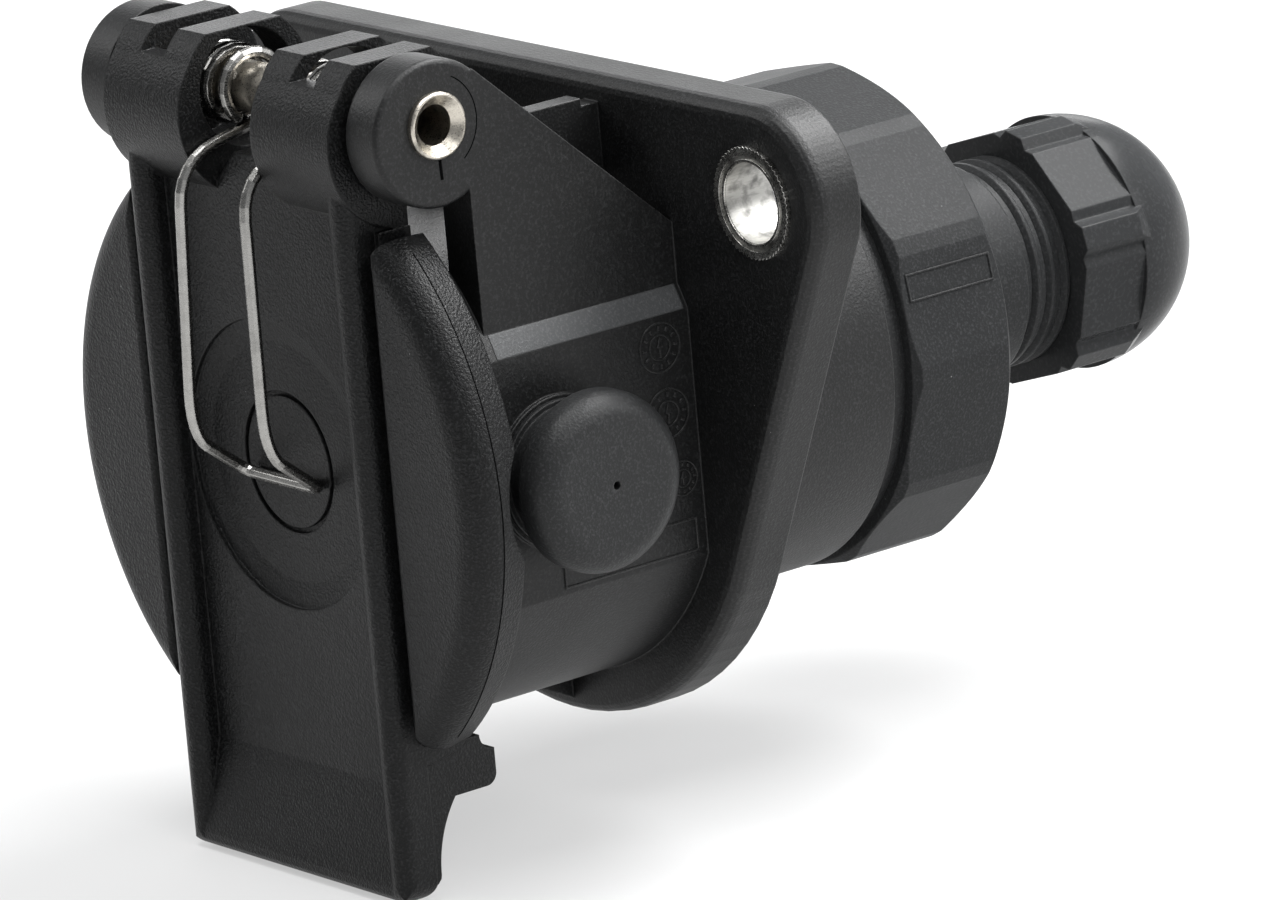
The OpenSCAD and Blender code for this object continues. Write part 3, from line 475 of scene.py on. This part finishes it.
def add_bush_rims():
    """A knurled rim and a fine lip on the front of each bush."""
    for node in ("mounting_bush_left", "mounting_bush_right"):
        low, high = (Vector(c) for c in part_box(node))
        middle = (low + high) / 2
        place = plane_at((middle.x, low.y, middle.z), X, Z, -Y)
        count = 2 * KNURL_TEETH
        outer = []
        for i, (u, v) in enumerate(circle(1, count)):
            radius = KNURL_R - KNURL_DEPTH * (i % 2)
            outer.append((radius * u, radius * v))
        shape = ([], [])
        band(shape, circle(RIM_INNER_R, count), outer, place, -RIM_SINK, RIM_HEIGHT)
        band(shape, circle(LIP_IN_R, count), circle(LIP_OUT_R, count), place, -RIM_SINK, LIP_HEIGHT)
        add_piece(node.replace("mounting_bush", "bush_rim"), shape, "plated_steel")


# Marks on the housing's flat side

FLAT_X = 27.0
EAR_FACE_X = 25.6
LID_R = 35.0
MARK_HEIGHT = 0.14
MARK_SINK = 0.1
DIALS = {
    "dial_upper": (-9.9, 9.8, 2.7),
    "dial_middle": (-9.5, 2.7, 2.7),
    "dial_lower": (-8.3, -4.5, 1.9),
}
DIAL_STEPS = 48
DIAL_RIM = 0.16
DIAL_RING_IN, DIAL_RING_OUT = 0.46, 0.52
DIAL_TICKS = 12
TICK_IN, TICK_OUT, TICK_HALF = 0.66, 0.84, 0.13
POINTER_TAIL, POINTER_TIP = 0.4, 0.42
POINTER_HALF, POINTER_HEAD_HALF = 0.12, 0.4
LABEL_LOW, LABEL_HIGH, LABEL_RIM = (-24.6, -12.5), (-7.0, -8.9), 0.22


def spoke(turn, r_in, r_out, half):
    """A short bar that points away from a dial's centre."""
    out, side = (math.cos(turn), math.sin(turn)), (-math.sin(turn), math.cos(turn))
    return [
        (out[0] * r + side[0] * s, out[1] * r + side[1] * s)
        for r, s in ((r_in, -half), (r_out, -half), (r_out, half), (r_in, half))
    ]


def add_side_marks():
    """Plain dials and the rim of a bare label field on the flat beside the plug."""
    for name, (y, z, radius) in DIALS.items():
        place = plane_at((FLAT_X * MM, y * MM, z * MM), Y, Z, X)
        shape = ([], [])
        rings = [(radius - DIAL_RIM, radius), (radius * DIAL_RING_IN, radius * DIAL_RING_OUT)]
        for ring in rings:
            inner, outer = (circle(r, DIAL_STEPS) for r in ring)
            band(shape, inner, outer, place, -MARK_SINK, MARK_HEIGHT)
        for i in range(DIAL_TICKS):
            turn = 2 * math.pi * i / DIAL_TICKS
            tick = spoke(turn, radius * TICK_IN, radius * TICK_OUT, TICK_HALF)
            prism(shape, tick, place, -MARK_SINK, MARK_HEIGHT)
        pointer = [
            (-POINTER_HALF, -radius * POINTER_TAIL),
            (POINTER_HALF, -radius * POINTER_TAIL),
            (POINTER_HALF, 0),
            (POINTER_HEAD_HALF, 0),
            (0, radius * POINTER_TIP),
            (-POINTER_HEAD_HALF, 0),
            (-POINTER_HALF, 0),
        ]
        prism(shape, pointer, place, -MARK_SINK, MARK_HEIGHT)
        add_piece(name, shape, "housing_plastic")
    shape = ([], [])
    place = plane_at((FLAT_X * MM, 0, 0), Y, Z, X)
    inner = rectangle(LABEL_LOW, LABEL_HIGH, LABEL_RIM)
    band(shape, inner, rectangle(LABEL_LOW, LABEL_HIGH), place, -MARK_SINK, MARK_HEIGHT)
    add_piece("side_label_rim", shape, "housing_plastic")


# Bands of painted highlight along the barrel, above its flat sides

BAND_R, BAND_SINK, BAND_ARC = 30.02, 0.3, (25.9, 31.3)
BAND_FRONT, BAND_BACK = -30.6, -6.3
BAND_STEPS = 12


def add_highlight_bands():
    """A lighter, rougher band between each flat side and the gusset above it, a painted highlight where
    light falls on the barrel.
    """
    for name, side in (("left", -1), ("right", 1)):
        place = plane_at((0, BAND_FRONT * MM, 0), X * side, Z, Y)
        shape = ([], [])
        lines = [arc(radius, *BAND_ARC, BAND_STEPS) for radius in (BAND_R - BAND_SINK, BAND_R)]
        band(shape, *lines, place, 0, BAND_BACK - BAND_FRONT, closed=False)
        add_piece("painted_highlight_band_" + name, shape, "housing_plastic", material=HIGHLIGHT_BAND_MATERIAL)


# Fine lines on the hinge ears and round the lid's rim, coloured as painted shade

EAR_LINE_R, EAR_LINE_W, EAR_LINE_ARC = 5.2, 0.12, (-52, 62)
EAR_SLIT = [(0.02, -5.7), (0.4, -5.7), (0.3, -3.3), (-0.05, -3.3)]
LINE_HEIGHT = 0.02
PARTING_Y, PARTING_W, PARTING_ARC = -37.65, 0.13, (-47, 47)


def add_fine_lines():
    """The moulding line and slit on each hinge ear, and the lid's parting line on both pads, as thin
    strips coloured nearly black: painted shade for the shadow in these grooves and the slit.
    """
    low, high = (Vector(c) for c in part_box("hinge_pin"))
    middle = (low + high) / 2
    face = EAR_FACE_X * MM
    for name, side in (("left", -1), ("right", 1)):
        place = plane_at((side * face, middle.y, middle.z), Y, Z, X * side)
        shape = ([], [])
        lines = [arc(EAR_LINE_R + half * EAR_LINE_W, *EAR_LINE_ARC) for half in (-0.5, 0.5)]
        band(shape, *lines, place, -MARK_SINK, LINE_HEIGHT, closed=False)
        prism(shape, EAR_SLIT, place, -MARK_SINK, LINE_HEIGHT)
        add_piece("ear_lines_" + name, shape, "housing_plastic", material=PAINTED_SHADE_MATERIAL)

        place = plane_at((0, PARTING_Y * MM, 0), X * side, Z, Y)
        shape = ([], [])
        lines = [arc(LID_R + lift, *PARTING_ARC) for lift in (-MARK_SINK, LINE_HEIGHT)]
        band(shape, *lines, place, -PARTING_W / 2, PARTING_W / 2, closed=False)
        add_piece("parting_line_" + name, shape, "lid_plastic", "lid", PAINTED_SHADE_MATERIAL)


# Hook behind the lid's lip

HOOK_HALF = 18.53
HOOK_ROOT, HOOK_TIP, HOOK_LOW, HOOK_HIGH = -39.0, -29.28, -33.62, -27.98
HOOK_SCOOP_R, HOOK_NOSE_R = 1.78, 1.3
HOOK_CURVE_R, HOOK_CURVE_Y, HOOK_CURVE_Z = 13.0, -24.4, -41.5
SCOOP_STEPS, NOSE_STEPS, CURVE_STEPS = 12, 10, 24
HOOK_END = [(-37.5, -41.9), (-37.85, -42.3), (-38.4, -42.6), (HOOK_ROOT, -42.6)]


def add_hook():
    """The full shape of the hook that lies behind the lip and carries on into the strap's back."""
    rise = math.degrees(math.asin((HOOK_LOW - HOOK_CURVE_Z) / HOOK_CURVE_R))
    scoop = arc(HOOK_SCOOP_R, 180, 270, SCOOP_STEPS)
    nose = arc(HOOK_NOSE_R, 0, -90, NOSE_STEPS)
    curve = arc(HOOK_CURVE_R, 180 - rise, 180, CURVE_STEPS)
    nose_y, nose_z = HOOK_TIP - HOOK_NOSE_R, HOOK_LOW + HOOK_NOSE_R
    outline = [(HOOK_ROOT, HOOK_HIGH)]
    outline += [(HOOK_TIP + y, HOOK_HIGH + z) for y, z in scoop]
    outline += [(nose_y + y, nose_z + z) for y, z in nose]
    outline += [(HOOK_CURVE_Y + y, HOOK_CURVE_Z + z) for y, z in curve]
    shape = ([], [])
    prism(shape, outline + HOOK_END, plane_at((-HOOK_HALF * MM, 0, 0), Y, Z, X), 0, 2 * HOOK_HALF)
    add_piece("hook_shell", shape, "lid_plastic", "lid")


# Bare label field on the rear cap

CAP_FACET_TURN = 11.8
CAP_CORNER_R, CAP_FACET_HALF = 26.9, 15
CAP_FACET_REACH = CAP_CORNER_R * math.cos(math.radians(CAP_FACET_HALF))
CAP_LABEL_LOW, CAP_LABEL_HIGH = (1.1, 24.9), (4.1, 36.4)


def add_cap_label():
    """The rim of a bare label field on one facet of the cap."""
    turn = math.radians(CAP_FACET_TURN)
    out = X * math.cos(turn) + Z * math.sin(turn)
    up = Z * math.cos(turn) - X * math.sin(turn)
    place = plane_at(out * CAP_FACET_REACH * MM, up, Y, out)
    shape = ([], [])
    inner = rectangle(CAP_LABEL_LOW, CAP_LABEL_HIGH, LABEL_RIM)
    band(shape, inner, rectangle(CAP_LABEL_LOW, CAP_LABEL_HIGH), place, -MARK_SINK, MARK_HEIGHT)
    add_piece("cap_label_rim", shape, "cap_plastic")


add_camera()
add_studio()
dress_nodes()
add_thread()
add_bush_rims()
add_side_marks()
add_highlight_bands()
add_fine_lines()
add_hook()
add_cap_label()
